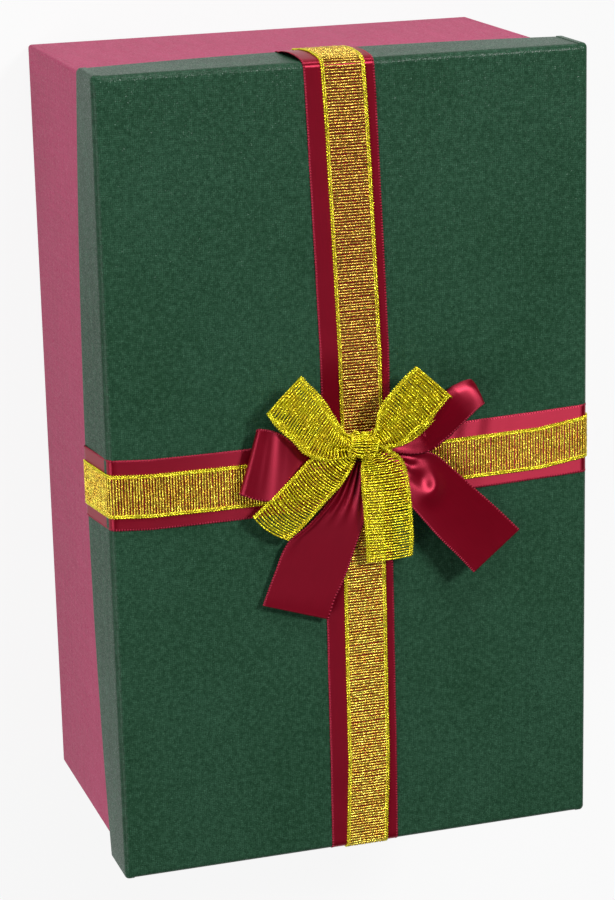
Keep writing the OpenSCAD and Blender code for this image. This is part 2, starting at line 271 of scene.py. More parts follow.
def glue_material():
    """Dried glue, pale and a little lumpy."""
    m = Nodes("dried_glue", roughness=0.3, coat_weight=0.4)
    lumps = m.noise(m.place(), 0.9, 3)
    base = m.blend(m.spread(lumps, 0.3, 0.7), srgb(226, 220, 200), srgb(240, 236, 222))
    return m.feed(base_color=base, normal=m.bump(lumps, 0.12))


def thread_material():
    """Undyed cotton thread."""
    m = Nodes("cotton_thread", roughness=0.8, sheen_weight=0.3)
    turns = m.noise(m.place(), 4.0, 2)
    base = m.blend(m.spread(turns, 0.3, 0.7), srgb(190, 180, 160), srgb(232, 226, 212))
    return m.feed(base_color=base, normal=m.bump(turns, 0.05))


GREEN = green_paper()
PINK = streaked_paper("raspberry_pearl_paper", srgb(160, 38, 82), srgb(190, 56, 106), srgb(226, 140, 172))
BOARD = plain_paper("greyboard", srgb(120, 114, 104), srgb(158, 152, 140))
KRAFT = plain_paper("gummed_kraft", srgb(168, 130, 88), srgb(192, 156, 112), 0.7)
LINING = plain_paper("lining_paper", srgb(226, 218, 200), srgb(240, 234, 220), 0.75)
SATIN = satin("crimson_satin", srgb(94, 0, 14), srgb(114, 0, 22))
# Painted shade and highlight on the stitches: their colour runs from a darker red for the shade between them
# to a pink highlight
STITCH = satin("satin_edge_painted_shade_and_highlight", srgb(86, 0, 14), srgb(196, 60, 88), 0.5)
LUREX = metal_thread("gold_lurex", srgb(255, 250, 40), srgb(246, 220, 36))
# The long band's gold is given painted shade towards the lid's upper end
LAID = metal_thread(
    "gold_lurex_on_satin", srgb(255, 240, 96), srgb(232, 190, 66), painted_shade_colour=srgb(192, 150, 60))
CROSSED = metal_thread("gold_lurex_across", srgb(255, 240, 80), srgb(236, 190, 56))
SELVAGE = metal_thread("gold_selvage", srgb(255, 250, 50), srgb(244, 228, 40))
WARP = metal_thread("gold_warp", srgb(150, 126, 30), srgb(116, 84, 24), 0.4)
GLUE = glue_material()
THREAD = thread_material()


# ---- Meshes ----

def unit(vectors):
    return vectors / np.maximum(np.linalg.norm(vectors, axis=-1, keepdims=True), 1e-12)


def grid_faces(rows, columns, wrap=False):
    """Faces of a grid of points. With wrap, the last column joins the first."""
    r, c = np.meshgrid(np.arange(rows - 1), np.arange(columns if wrap else columns - 1), indexing="ij")
    right = (c + 1) % columns
    corners = [r * columns + c, r * columns + right, (r + 1) * columns + right, (r + 1) * columns + c]
    return np.stack(corners, -1).reshape(-1, 4)


def make_piece(name, parts, materials, body, stands_for, uv=None):
    """One object from parts, each (points in mm, faces, material number).

    A part without points of its own has faces that count back from the end of the points before it.
    """
    points = np.concatenate([p for p, f, m in parts]) * MM
    starts = np.cumsum([0] + [len(p) for p, f, m in parts[:-1]])
    faces = [[v + start for v in face] for (p, f, m), start in zip(parts, starts) for face in f.tolist()]
    mesh = bpy.data.meshes.new(name)
    mesh.from_pydata(points.tolist(), [], faces)
    numbers = np.concatenate([np.full(len(f), m) for p, f, m in parts])
    mesh.polygons.foreach_set("material_index", numbers.astype(np.int32))
    mesh.polygons.foreach_set("use_smooth", np.ones(len(mesh.polygons), bool))
    if uv is not None:
        layer = mesh.uv_layers.new(name="ribbon")
        corner = np.empty(len(mesh.loops), np.int32)
        mesh.loops.foreach_get("vertex_index", corner)
        layer.data.foreach_set("uv", uv[corner].astype(np.float32).ravel())
    for material in materials:
        mesh.materials.append(material)
    mesh.update()
    piece = bpy.data.objects.new(name, mesh)
    bpy.context.scene.collection.objects.link(piece)
    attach(piece, body)
    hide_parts(*stands_for)
    return piece


def tubes(centres, side, normal, half_w, half_t, twist, sides=4):
    """Closed tubes with an oval section that turns by twist. The first three are (tubes, rings, 3)."""
    angle = 2 * np.pi * (np.arange(sides) + 0.5) / sides
    u, w = np.multiply.outer(half_w, np.cos(angle)), np.multiply.outer(half_t, np.sin(angle))
    turn_c, turn_s = np.cos(twist)[..., None], np.sin(twist)[..., None]
    x, y = u * turn_c - w * turn_s, u * turn_s + w * turn_c
    points = (centres[..., None, :] + x[..., None] * side[..., None, :] + y[..., None] * normal[..., None, :])
    count, rings = centres.shape[:2]
    wall = grid_faces(rings, sides, wrap=True)
    last = (rings - 1) * sides
    lids = [[0, k, k + 1, k + 2] for k in range(1, sides - 2, 2)]
    ends = [face[::-1] for face in lids] + [[v + last for v in face] for face in lids]
    one = np.concatenate([wall, np.array(ends)])
    steps = np.arange(count) * rings * sides
    return points.reshape(-1, 3), (steps[:, None, None] + one).reshape(-1, 4)


# ---- Surfaces of ribbon ----

class Surface:
    """A ribbon's middle surface: points (rows, columns, 3) in mm, measured along its middle line."""

    def __init__(self, points):
        self.points = points
        middle = points[:, points.shape[1] // 2]
        steps = np.linalg.norm(np.diff(middle, axis=0), axis=1)
        self.at = np.concatenate([[0], np.cumsum(steps)])
        self.length = self.at[-1]
        along, across = np.gradient(points, axis=0), np.gradient(points, axis=1)
        self.normal = unit(np.cross(across, along))
        self.across = unit(across)

    def sample(self, s, v):
        """Points, normals and directions across, at distances s along and shares v across."""
        rows, columns = self.points.shape[:2]
        row = np.interp(s, self.at, np.arange(rows))
        row = row + np.maximum(s - self.length, 0) / (self.at[-1] - self.at[-2])
        row = row + np.minimum(s, 0) / (self.at[1] - self.at[0])
        column = v * (columns - 1)
        i = np.clip(row.astype(int), 0, rows - 2)
        j = np.clip(column.astype(int), 0, columns - 2)
        a, b = (row - i)[..., None], (column - j)[..., None]

        def mixed(grid):
            near = grid[i, j] * (1 - b) + grid[i, j + 1] * b
            far = grid[i + 1, j] * (1 - b) + grid[i + 1, j + 1] * b
            return near * (1 - a) + far * a

        return mixed(self.points), unit(mixed(self.normal)), unit(mixed(self.across))


def smooth_through(places, step=0.5):
    """A cubic curve through the rows of places, with a point about every step of its middle line."""
    places = np.asarray(places, float)
    middle = places.mean(1)
    at = np.concatenate([[0], np.cumsum(np.linalg.norm(np.diff(middle, axis=0), axis=1))])
    slope = np.gradient(places, at, axis=0)
    t = np.linspace(0, at[-1], max(int(at[-1] / step), 8))
    k = np.clip(np.searchsorted(at, t, side="right") - 1, 0, len(at) - 2)
    gap = (at[k + 1] - at[k])[:, None, None]
    u = ((t - at[k]) / (at[k + 1] - at[k]))[:, None, None]
    return (
        (2 * u**3 - 3 * u**2 + 1) * places[k] + (u**3 - 2 * u**2 + u) * gap * slope[k]
        + (3 * u**2 - 2 * u**3) * places[k + 1] + (u**3 - u**2) * gap * slope[k + 1]
    )


def wave_lengths():
    """Steepest slopes of a sine wave, and how many times longer than its base it then is."""
    slopes = np.linspace(0, 12, 241)
    phase = np.linspace(0, np.pi, 400)
    return slopes, np.sqrt(1 + (slopes[:, None] * np.cos(phase)) ** 2).mean(1)


SLOPES, LONGER = wave_lengths()


def ribbon_surface(
        stations, width, folds=2.0, crown=0.0, spread=0.25, loop=False, shape=None, columns=41):
    """A ribbon between two edges. Each station is (left x, y, height, right x, y, height).

    Where the edges are nearer than the ribbon is wide, the spare width stands in that number of
    folds. The folds fade out at spread, as a share of the length, into one arch up to crown high.
    shape(u, v) is added height.
    """
    edges = smooth_through(np.array(stations, float).reshape(-1, 2, 3))
    v = np.linspace(0, 1, columns)[None, :]
    u = np.linspace(0, 1, len(edges))[:, None]
    left, right = edges[:, :1], edges[:, 1:]
    points = left + (right - left) * v[..., None]
    normal = unit(np.cross(right - left, np.gradient(edges.mean(1), axis=0)[:, None]))
    normal = normal * np.sign(normal[0, 0, 2])
    chord = np.linalg.norm(right - left, axis=2)
    slope = np.interp(width / chord[:, 0], LONGER, SLOPES)
    window = np.hanning(15) / np.hanning(15).sum()
    slope = np.convolve(np.pad(slope, 7, mode="edge"), window, mode="valid")[:, None]
    from_root = np.minimum(u, 1 - u) * 2 if loop else u
    fade = np.clip(from_root / spread, 0, 1)
    folded = 1 - fade * fade * (3 - 2 * fade)
    height = folded * slope * chord / (2 * np.pi * folds) * np.sin(2 * np.pi * folds * v)
    if shape is not None:
        height = height + shape(u, v)
    points = points + height[..., None] * normal
    if crown:
        arch = crown * np.tanh(slope * chord / np.pi / crown)
        points[..., 2] += (1 - folded) * arch * np.sin(np.pi * v)
    points[..., 2] += FACE_Z
    return Surface(points)


def rolled_loop(edge, visible, radius, width, inset=1.0, columns=51):
    """A loop whose far side is rolled under it along its length, both layers nested.

    edge is the near edge, from root to tip. visible is the roll's breadth at shares of the
    reach, and radius is its radius at the root and at the tip.
    """
    line = smooth_through(np.repeat(np.array(edge, float)[:, None], 2, 1))[:, 0]
    at = np.concatenate([[0], np.cumsum(np.linalg.norm(np.diff(line, axis=0), axis=1))])
    reach = at[-1]
    turn = np.linspace(-np.pi / 2, np.pi / 2, 9)[:, None]
    out = np.linspace(0, reach - inset / 2, 100)[:, None]
    place = np.concatenate([out, reach - inset / 2 + inset / 2 * np.cos(turn), out[::-1]])
    depth = np.concatenate([0 * out, inset / 2 * (1 + np.sin(turn)), 0 * out + inset])
    near = np.stack([np.interp(place[:, 0], at, line[:, k]) for k in range(3)], 1)[:, None]
    along = unit(np.stack([np.interp(place[:, 0], at, np.gradient(line[:, k])) for k in range(3)], 1))
    aside = unit(np.stack([-along[:, 1], along[:, 0], 0 * along[:, 0]], 1))[:, None]
    share = np.clip(place / reach, 0, 1)
    breadth = np.interp(share, *zip(*visible)) - depth
    bend = radius[0] + (radius[1] - radius[0]) * share - depth
    gathered = np.minimum(width, 2.15 * breadth + (np.pi - 2) * bend)
    v = np.linspace(0, 1, columns)[None, :]
    q = v * gathered
    flat = breadth - bend
    angle = np.clip((q - flat) / bend, 0, np.pi)
    under = np.maximum(q - flat - np.pi * bend, 0)
    across = np.minimum(q, flat) + bend * np.sin(angle) - under
    drop = bend * (1 - np.cos(angle)) + depth
    crown = 0.9 * np.sin(np.pi * np.clip(q / (flat + bend), 0, 1)) * share
    gather = 0.35 * np.sin(2 * np.pi * 5 * v) * np.clip(1 - 2.5 * share, 0, 1)
    points = near + aside * across[..., None]
    points[..., 2] += crown - drop + gather + FACE_Z
    return Surface(points)


# ---- Ribbons on a surface ----

def satin_ribbon(name, surface, width, stands_for, step=0.8):
    """Satin sheet with a stitched edge on both sides."""
    rows = max(int(surface.length / step), 12)
    s, v = np.meshgrid(np.linspace(0, surface.length, rows), np.linspace(0, 1, 34), indexing="ij")
    middle, normal, _ = surface.sample(s, v)
    section = np.concatenate([middle + normal * RED_T / 2, (middle - normal * RED_T / 2)[:, ::-1]], 1)
    columns = section.shape[1]
    wall = grid_faces(rows, columns, wrap=True)
    strip = np.array([[k, columns - 1 - k, columns - 2 - k, k + 1] for k in range(columns // 2 - 1)])
    faces = np.concatenate([wall, strip, strip[:, ::-1] + (rows - 1) * columns])
    share = np.concatenate([v, v[:, ::-1]], 1)
    sheet_uv = np.stack([share * width, np.concatenate([s, s], 1)], -1).reshape(-1, 2)
    threads, thread_uv = stitches(surface, width)
    parts = [(section.reshape(-1, 3), faces, 0), *threads]
    uv = np.concatenate([sheet_uv, *thread_uv])
    piece = make_piece(name, parts, [SATIN, STITCH], "lid", stands_for, uv)
    return piece


def stitches(surface, width):
    """Short threads along both edges, each from the cloth to just past its edge, and their UVs."""
    count = int(surface.length / STITCH_PITCH)
    places = (np.arange(count) + 0.5) * surface.length / count
    reach = np.array([0.75, 0.5, 0.15, -0.18]) / width
    thick = np.array([0.3, 1.0, 1.0, 0.5])
    parts, uv = [], []
    for side in (0, 1):
        s, v = np.meshgrid(places, reach if side == 0 else 1 - reach, indexing="ij")
        centre, normal, across = surface.sample(s, v)
        along = unit(np.cross(normal, across))
        half_w = np.broadcast_to(0.38 * thick, s.shape)
        half_t = np.broadcast_to(0.24 * thick, s.shape)
        parts.append((*tubes(centre, along, normal, half_w, half_t, np.zeros(s.shape)), 1))
        uv.append(np.repeat(np.stack([v * width, s], -1).reshape(-1, 2), 4, 0))
    return parts, uv


def gold_ribbon(name, surface, width, stands_for, arch=0.0, thread=LUREX):
    """Open metallic ribbon: ribs of wound film across, fine warps and two cords at each edge.

    arch is how far the middle of a rib runs ahead of its ends.
    """
    count = int(surface.length / RIB_PITCH)
    rings = 3 * int((1 - 2 * RIB_END) * width / BEAD) + 1
    places = (np.arange(count) + 0.5) * surface.length / count
    s, v = np.meshgrid(places, np.linspace(RIB_END, 1 - RIB_END, rings), indexing="ij")
    start = rng.uniform(0, 1, (count, 1))
    bent = s + arch * (1 - (2 * v - 1) ** 2) + 0.05 * np.sin(9 * v + 6.28 * start)
    centre, normal, across = surface.sample(bent + rng.normal(0, 0.04, (count, 1)), v)
    centre = centre + normal * rng.normal(0, 0.04, s.shape)[..., None]
    along = unit(np.cross(normal, across))
    bead = np.abs(np.sin(np.pi * (v * width / BEAD + start))) ** 0.6
    half = 0.24 + 0.22 * bead + rng.normal(0, 0.015, s.shape)
    twist = np.pi * (v * width / BEAD + start)
    parts = [(*tubes(centre, along, normal, half, half * 0.7, twist), 0)]
    parts += selvages(surface, width)
    parts += warps(surface, count)
    piece = make_piece(name, parts, [thread, SELVAGE, WARP], "lid", stands_for)
    return piece


def selvages(surface, width):
    """Two wound cords along each edge, beaded, the outer one in small scallops."""
    rings = 3 * int(surface.length / RIB_PITCH) + 1
    s = np.linspace(0, surface.length, rings)[None, :]
    phase = np.pi * s / RIB_PITCH
    parts = []
    for from_edge, wave in ((0.25, 0.2), (1.0, 0.06)):
        for side in (0, 1):
            start = rng.uniform(0, np.pi)
            swing = np.cos(2 * (phase + start))
            share = (from_edge - wave * swing + rng.normal(0, 0.03, s.shape)) / width
            v = share if side == 0 else 1 - share
            centre, normal, across = surface.sample(s, v)
            size = 0.3 + 0.2 * (0.5 + 0.5 * swing)
            parts.append((*tubes(centre, across, normal, size, size * 0.7, phase + side), 1))
    return parts


def warps(surface, ribs):
    """Fine threads along the ribbon, over one rib and under the next."""
    s = np.linspace(0, surface.length, 2 * ribs + 1)[None, :]
    parts = []
    for k, share in enumerate(np.linspace(0.18, 0.82, 5)):
        v = np.full(s.shape, share)
        centre, normal, across = surface.sample(s, v)
        weave = 0.22 * np.cos(np.pi * s / surface.length * ribs + np.pi * k)[..., None]
        thin = np.full(s.shape, 0.08)
        parts.append((*tubes(centre + normal * weave, across, normal, thin, thin, 0 * s), 2))
    return parts


# ---- Box ----

# Shares along a short side at which a ring has points, close together at the base's seam (SEAM_AT)
# and at the edge of the lid's laps (LAP_W)
BY_CORNER = np.array([0.003, 0.0075, 0.0082, 0.0089, 0.0096, 0.0109, 0.0113, 0.0117, 0.013, 0.02])
SEAM_STEPS = np.concatenate([BY_CORNER, np.linspace(0.05, 0.95, 25), 1 - BY_CORNER[::-1]])


def ring(width, length, radius, long_side=40, corner=6):
    """Points round a rounded rectangle, each (x, y), closer together by the short sides' seams."""
    half = np.array([width / 2 - radius, length / 2 - radius])
    rows = []
    for quarter, (sx, sy) in enumerate(((1, 1), (-1, 1), (-1, -1), (1, -1))):
        centre = half * (sx, sy)
        angle = np.pi / 2 * (quarter + np.linspace(0, 1, corner + 1))
        arc = centre + radius * np.stack([np.cos(angle), np.sin(angle)], 1)
        rows.append(arc)
        following = half * ((-1, 1), (-1, -1), (1, -1), (1, 1))[quarter]
        share = SEAM_STEPS if quarter % 2 == 0 else np.linspace(0, 1, long_side + 1)[1:-1]
        rows.append(arc[-1] + (following - centre) * share[:, None])
    return np.concatenate(rows)


def make_shell(name, width, length, profile, material, body, stands_for, bow):
    """A closed body: a rounded rectangle at each (inset, radius, height) of profile, and two caps.

    bow(flat, inset, height) moves a loop's points.
    """
    loops = []
    for inset, radius, height in profile:
        flat = ring(width - 2 * inset, length - 2 * inset, max(radius, 0.02))
        flat = bow(flat, inset, height)
        loops.append(np.column_stack([flat, np.full(len(flat), height)]))
    count, total = len(loops[0]), len(loops) * len(loops[0])
    wall = (np.concatenate(loops), grid_faces(len(loops), count, wrap=True), 0)
    caps = (np.empty((0, 3)), np.stack([np.arange(count)[::-1] - total, np.arange(count) - count]), 0)
    make_piece(name, [wall, caps], [material], body, stands_for)


def spread_rim(flat, inset, height):
    """Moves a loop of the lid outwards where its rims bow, and where the paper laps its corners."""
    drop = np.clip((FACE_Z - height) / RIM_H, 0, 1) if inset < 2 * WALL_T else 0.0
    out = flat.copy()
    x, y = flat[:, 0] / (LID_W / 2), flat[:, 1] / (LID_L / 2)
    on_long = np.abs(flat[:, 0]) > np.abs(flat[:, 0]).max() - 1.5
    on_short = np.abs(flat[:, 1]) > np.abs(flat[:, 1]).max() - 1.5
    out[:, 0] += on_long * np.sign(x) * RIM_BOW_LONG * np.clip(1 - y**2, 0, 1) * drop
    out[:, 1] += on_short * np.sign(y) * RIM_BOW_SHORT * np.clip(1 - x**2, 0, 1) * drop
    if inset <= 0.6 * EDGE_R and height > RIM_Z + 1:
        from_corner = LID_W / 2 - np.abs(flat[:, 0])
        lapped = on_short * (from_corner < LAP_W) * np.clip(from_corner / CORNER_R, 0, 1)
        out[:, 1] += np.sign(y) * LAP_T * lapped * np.clip((EDGE_R - inset) / EDGE_R, 0, 1)
    return out


def seam_base(flat, inset, height):
    """Sinks a fine broken seam beside each upright corner of the base's short sides."""
    out = flat.copy()
    if inset == 0 and 2 < height < BASE_H - 1:
        on_short = np.abs(flat[:, 1]) > np.abs(flat[:, 1]).max() - 0.05
        share = 0.5 - np.abs(flat[:, 0]) / (BASE_W - 2 * CORNER_R)
        seam = on_short * (np.abs(share - SEAM_AT) < SEAM_HALF)
        depth = SEAM_DEPTH * (0.45 + 0.55 * np.sin(height * 1.9) * np.sin(height * 0.71 + 1))
        out[:, 1] -= np.sign(flat[:, 1]) * seam * depth
    return out


def arc_rows(inset, height, radius, start, end, count=6):
    """Profile rows round a bend, for angles from the outward direction, as (inset, height)."""
    angles = np.radians(np.linspace(start, end, count))
    return [(inset - radius * math.cos(a), height + radius * math.sin(a)) for a in angles]


def plan_corner(inset, back=0.0):
    """Radius in plan of a loop at that inset: softer on the face than down the rims."""
    softer = (FACE_CORNER - CORNER_R) * min(inset / EDGE_R, 1)
    return CORNER_R + softer - max(inset - EDGE_R, 0) - back


def build_lid():
    """The lid's covering paper, from its face over the edge and round the rim, and the greyboard."""
    face = [(d, FACE_Z) for d in (LID_CAP, 60, 30, 12, 6, 4, 2.9, 2.5)]
    over = arc_rows(EDGE_R, FACE_Z - EDGE_R, EDGE_R, 90, 0, 13)
    rim = [(0, FACE_Z - EDGE_R - step) for step in (1, 3, 6, 9, 12, 15, 17.5, 18.8)]
    under = arc_rows(WALL_T / 2, RIM_Z + WALL_T / 2, WALL_T / 2, 0, -180, 9)
    tucked = [(WALL_T, RIM_Z + h) for h in (3, 7, 11, TURN_IN)]
    rows = [(d, plan_corner(d), h) for d, h in face + over]
    rows += [(d, CORNER_R - d, h) for d, h in rim + under + tucked]
    rows += [(WALL_T - PAPER_T, 0.3, RIM_Z + TURN_IN), (WALL_T - PAPER_T, 0.3, RIM_Z + 1.2),
             (PAPER_T, CORNER_R - PAPER_T, RIM_Z + 1.2), (PAPER_T, CORNER_R - PAPER_T, FACE_Z - EDGE_R)]
    inner = arc_rows(EDGE_R, FACE_Z - EDGE_R, EDGE_R - PAPER_T, 0, 90, 8)[1:]
    inner += [(d, FACE_Z - PAPER_T) for d in (5, LID_CAP)]
    rows += [(d, plan_corner(d, PAPER_T), h) for d, h in inner]
    make_shell("lid_paper", LID_W, LID_L, rows, GREEN, "lid", ["lid_wrap"], spread_rim)
    skin, board = SKIN_T + 0.02, SKIN_T + BOARD_T
    crown = arc_rows(EDGE_R, FACE_Z - EDGE_R, EDGE_R - skin, 90, 0, 7)
    panel = [(d, FACE_Z - skin) for d in (LID_CAP, 6)]
    rows = [(d, plan_corner(d, skin), h) for d, h in panel + crown]
    rows += [(skin, CORNER_R - skin, RIM_Z + 10), (skin, CORNER_R - skin, RIM_Z + 0.8),
             (board - 0.05, 0.2, RIM_Z + 0.8), (board - 0.05, 0.2, RIM_Z + 12), (board, 0.2, LINER_TOP),
             (LID_CAP, 0.02, LINER_TOP)]
    make_shell("lid_greyboard", LID_W, LID_L, rows, BOARD, "lid", ["lid_board"], spread_rim)


def build_base():
    """The base's covering paper, from its underside up the walls and over their edge."""
    low = arc_rows(0.8, 0.8, 0.8, -90, 0, 5)
    high = arc_rows(WALL_T / 2, BASE_H - WALL_T / 2, WALL_T / 2, 0, 180, 9)
    sides = [(0, h) for h in np.arange(2.5, BASE_H - 3, 1.1)]
    outer = [(d, 0) for d in (BASE_CAP, 30, 8, 3)] + low + sides + high
    outer += [(WALL_T, BASE_H - TURN_IN)]
    back = [(WALL_T - PAPER_T, BASE_H - TURN_IN), (WALL_T - PAPER_T, BASE_H - 1.2),
            (PAPER_T, BASE_H - 1.2), (PAPER_T, PAPER_T + 0.6), (PAPER_T + 0.6, PAPER_T),
            (BASE_CAP, PAPER_T)]
    rows = [(d, CORNER_R - d, h) for d, h in outer + back]
    make_shell("base_paper", BASE_W, BASE_L, rows, PINK, "base", ["base_wrap"], seam_base)


build_lid()
build_base()
KEPT = {
    "base_board": BOARD, "base_corner_stays": KRAFT, "base_floor_liner": LINING, "base_wall_liner": LINING,
    "lid_corner_stays": KRAFT, "lid_liner": LINING, "band_end_glue": GLUE, "bow_glue_pad": GLUE,
}
for node, material in KEPT.items():
    nodes[node].data.materials.clear()
    nodes[node].data.materials.append(material)


# ---- Bands ----

def band_side(half, bow, under):
    """From the lid's middle over its edge, down the rim and up inside, as (outward, height)."""
    over = [(half - d, h) for d, h in arc_rows(EDGE_R, FACE_Z - EDGE_R, EDGE_R + under, 90, 0, 12)]
    radius = WALL_T / 2 + under
    turn = arc_rows(WALL_T / 2, RIM_Z + WALL_T / 2, radius, 0, -180, 12)
    fold = [(half + bow - d, h) for d, h in turn]
    end = (half - WALL_T - under + bow * (1 - BAND_TUCK / RIM_H), RIM_Z + BAND_TUCK)
    return [(0, FACE_Z + under)] + over + fold + [end]


def even(path, step=0.5):
    """Points of a path in a plane, about step apart."""
    path = np.array(path)
    at = np.concatenate([[0], np.cumsum(np.linalg.norm(np.diff(path, axis=0), axis=1))])
    t = np.linspace(0, at[-1], int(at[-1] / step))
    return np.column_stack([np.interp(t, at, path[:, k]) for k in range(2)])


def band_surface(
        half, bow, under, width, centre, axis, ripple, drift=(0, 0), stand_off=(0, 0), lift=0.0):
    """A band over the lid along axis. centre is a list of (place along, place across).

    ripple(along, share across) is added height on the lid's face.
    drift moves the band sideways down the rim at its low and high end, and stand_off is how far
    it stands away from the rim there. lift raises it over another band.
    """
    side = np.array(band_side(half, bow, under))
    path = even(np.concatenate([side[::-1] * (-1, 1), side[1:]]))
    along, height = path.T
    places, across = np.array(centre, float).T
    middle = np.interp(along, places, across)
    depth = np.clip((FACE_Z - height) / RIM_H, 0, 1)
    middle = middle + depth * np.where(along < 0, drift[0], drift[1])
    away = np.sin(np.pi * np.clip(depth * 1.15, 0, 1)) ** 0.7 * (np.abs(along) > half - 1)
    along = along + np.sign(along) * away * np.where(along < 0, stand_off[0], stand_off[1])
    near = np.clip((LIFT_FROM - np.abs(along)) / LIFT_FADE, 0, 1)
    height = height + lift * near * near * (3 - 2 * near)
    v = np.linspace(0, 1, 21)[None, :]
    grid_along = np.broadcast_to(along[:, None], (len(along), v.shape[1]))
    grid_across = middle[:, None] + (v - 0.5) * width
    grid_height = np.broadcast_to(height[:, None], grid_along.shape)
    on_face = np.clip((half - RIPPLE_END - np.abs(grid_along)) / RIPPLE_FADE, 0, 1)
    grid_height = grid_height + on_face * ripple(grid_along, v)
    if axis == "y":
        return Surface(np.stack([grid_across, grid_along, grid_height], -1))
    return Surface(np.stack([grid_along, -grid_across, grid_height], -1))


def build_bands():
    """Satin and gold bands both ways. Their centre lines are (place along, place across)."""
    half_l, half_w = LID_L / 2, LID_W / 2
    long_red = [(-145, 1.5), (-112, 1.5), (43, 0.8), (120, -2.0), (145, -3.0)]
    long_gold = [(-145, 2.2), (-112, 3.4), (43, 2.6), (120, -0.4), (145, -1.7)]
    cross_red = [(-94, 0), (-75, 1.4), (-42, 1.5), (20, 0.4), (71, -0.9), (90, -1.6)]
    cross_gold = [(-94, 0.4), (-75, 1.8), (-42, 2.0), (20, 1.2), (71, 0.2), (90, -2.4)]

    def cross_ripple(along, v):
        by_bow = np.exp(-((along - 38) / 16) ** 2)
        waves = np.sin(along * 0.62 + 3 * v) + 0.7 * np.sin(along * 0.37 + 2 * v + 1)
        return 0.15 + 0.14 * by_bow * waves * (1 - v) + 0.1 * np.sin(along * 0.12 + 2)

    def long_ripple(along, v):
        return 0.1 + 0.08 * np.sin(along * 0.1) + 0.05 * np.sin(along * 0.27 + 4 * v)

    surface = band_surface(half_w, RIM_BOW_LONG, RED_UP, RED_W, cross_red, "x", cross_ripple)
    satin_ribbon(
        "cross_band_satin", surface, RED_W, ["cross_band_red"])
    surface = band_surface(
        half_w, RIM_BOW_LONG, GOLD_UP, CROSS_GOLD_W, cross_gold, "x", cross_ripple)
    gold_ribbon(
        "cross_band_lurex", surface, GOLD_W, ["cross_band_gold"],
        thread=CROSSED)
    surface = band_surface(
        half_l, RIM_BOW_SHORT, RED_UP, RED_W, long_red, "y", long_ripple,
        drift=(0, -3), stand_off=(0, 1.4), lift=CROSSING_LIFT)
    satin_ribbon(
        "long_band_satin", surface, RED_W, ["long_band_red"])
    surface = band_surface(
        half_l, RIM_BOW_SHORT, GOLD_UP, LONG_GOLD_W, long_gold, "y", long_ripple,
        drift=(0, -3), stand_off=(0, 1.5), lift=CROSSING_LIFT)
    gold_ribbon(
        "long_band_lurex", surface, GOLD_W, ["long_band_gold"],
        thread=LAID)


build_bands()


# ---- Bow ----
# Stations run outwards from the knot: left edge x, y, height, then right edge x, y, height.

RED_TAIL_LEFT = [
    (-2, 4.4, 3.4, 1.6, 3, 3.6), (-5.5, -1.4, 3.4, 2.1, -2.8, 4.0), (-10, -9.1, 3.2, 2.2, -10.3, 3.8),
    (-18, -17.5, 3, 2.1, -19, 3.4), (-26.3, -24, 2.8, -1.3, -28.9, 2.8),
    (-31.3, -34.6, 2.6, -5.2, -39.4, 2.6), (-34.7, -42.8, 2.6, -9.6, -48.2, 2.8),
    (-36.1, -46.3, 2.8, -11.9, -54.4, 3.2),
]
RED_TAIL_RIGHT = [
    (5.2, 8, 4.4, 2.1, 3.2, 4.2), (13.8, 6.3, 4.4, 7, -0.8, 4.9), (21.5, 4.8, 4, 12.3, -6.5, 5.8),
    (28, 3.4, 3.6, 17, -12.2, 6.7), (35.7, -3.1, 3.4, 22.7, -19.4, 8.0),
    (44.1, -11.4, 3.2, 28.1, -26.2, 9.3), (53.1, -20.2, 3, 34.8, -33.6, 10.7),
    (61.8, -29.4, 3, 40.6, -40.4, 11.9),
]
RED_LOOP_LEFT = [
    (-2.4, 2.2, 4.4, -3.1, 6.4, 4.6), (-8.5, 0, 4.4, -9.6, 6.1, 4.6),
    (-15.3, -2.8, 4.6, -16.6, 7.1, 4.8), (-22.8, -5, 5.5, -21.8, 10.6, 5.6),
    (-29.2, -6.5, 6.4, -26.6, 15.4, 6.5), (-34, -6.6, 6.8, -30.5, 18.1, 7.1),
    (-38.1, -5.8, 6.5, -33.2, 19.2, 6.9), (-40.5, -5, 6.1, -34.8, 19.5, 6.6),
    (-43, -3.8, 5.4, -36.6, 19.7, 6.0), (-44, -3.5, 4.2, -37.2, 19.2, 5),
    (-42.9, -4.5, 3, -36.4, 18.6, 3.8), (-39, -5.6, 2.6, -33.4, 17.5, 3.4),
    (-31.2, -6.2, 2.4, -27.5, 14.1, 3), (-21.2, -4, 2.4, -20, 7.4, 3), (-10, -0.4, 2.6, -9.3, 5.5, 3),
    (-1.9, 2.1, 3, -2.3, 5.2, 3.2),
]
RED_LOOP_RIGHT_EDGE = [
    (4.5, 8.6, 5.0), (9.3, 7.4, 5.4), (14.1, 5.7, 5.6), (20.4, 4.5, 5.8), (26.4, 5, 6),
    (31.5, 8.5, 6.8), (36.4, 12.5, 7.4), (40.5, 16, 7.4), (44.3, 18.7, 6.6), (47.5, 20.2, 5.6),
]
GOLD_TAIL_LEFT = [
    (-4.3, 10.4, 8.2, -1.5, 6.2, 7.6), (-9.4, 10.2, 8.2, -3.3, 2.8, 7.8),
    (-14.6, 9.5, 8.2, -5.6, -0.8, 7.8), (-19, 7.5, 8, -8, -4.1, 7.4), (-23.3, 3.3, 7.4, -12, -8.2, 6.8),
    (-28.4, -1.6, 7.0, -17.1, -13.5, 6.2), (-34, -6.6, 6.8, -22, -18.5, 5.6),
    (-40.1, -11.8, 6.2, -26.9, -22.5, 5),
]
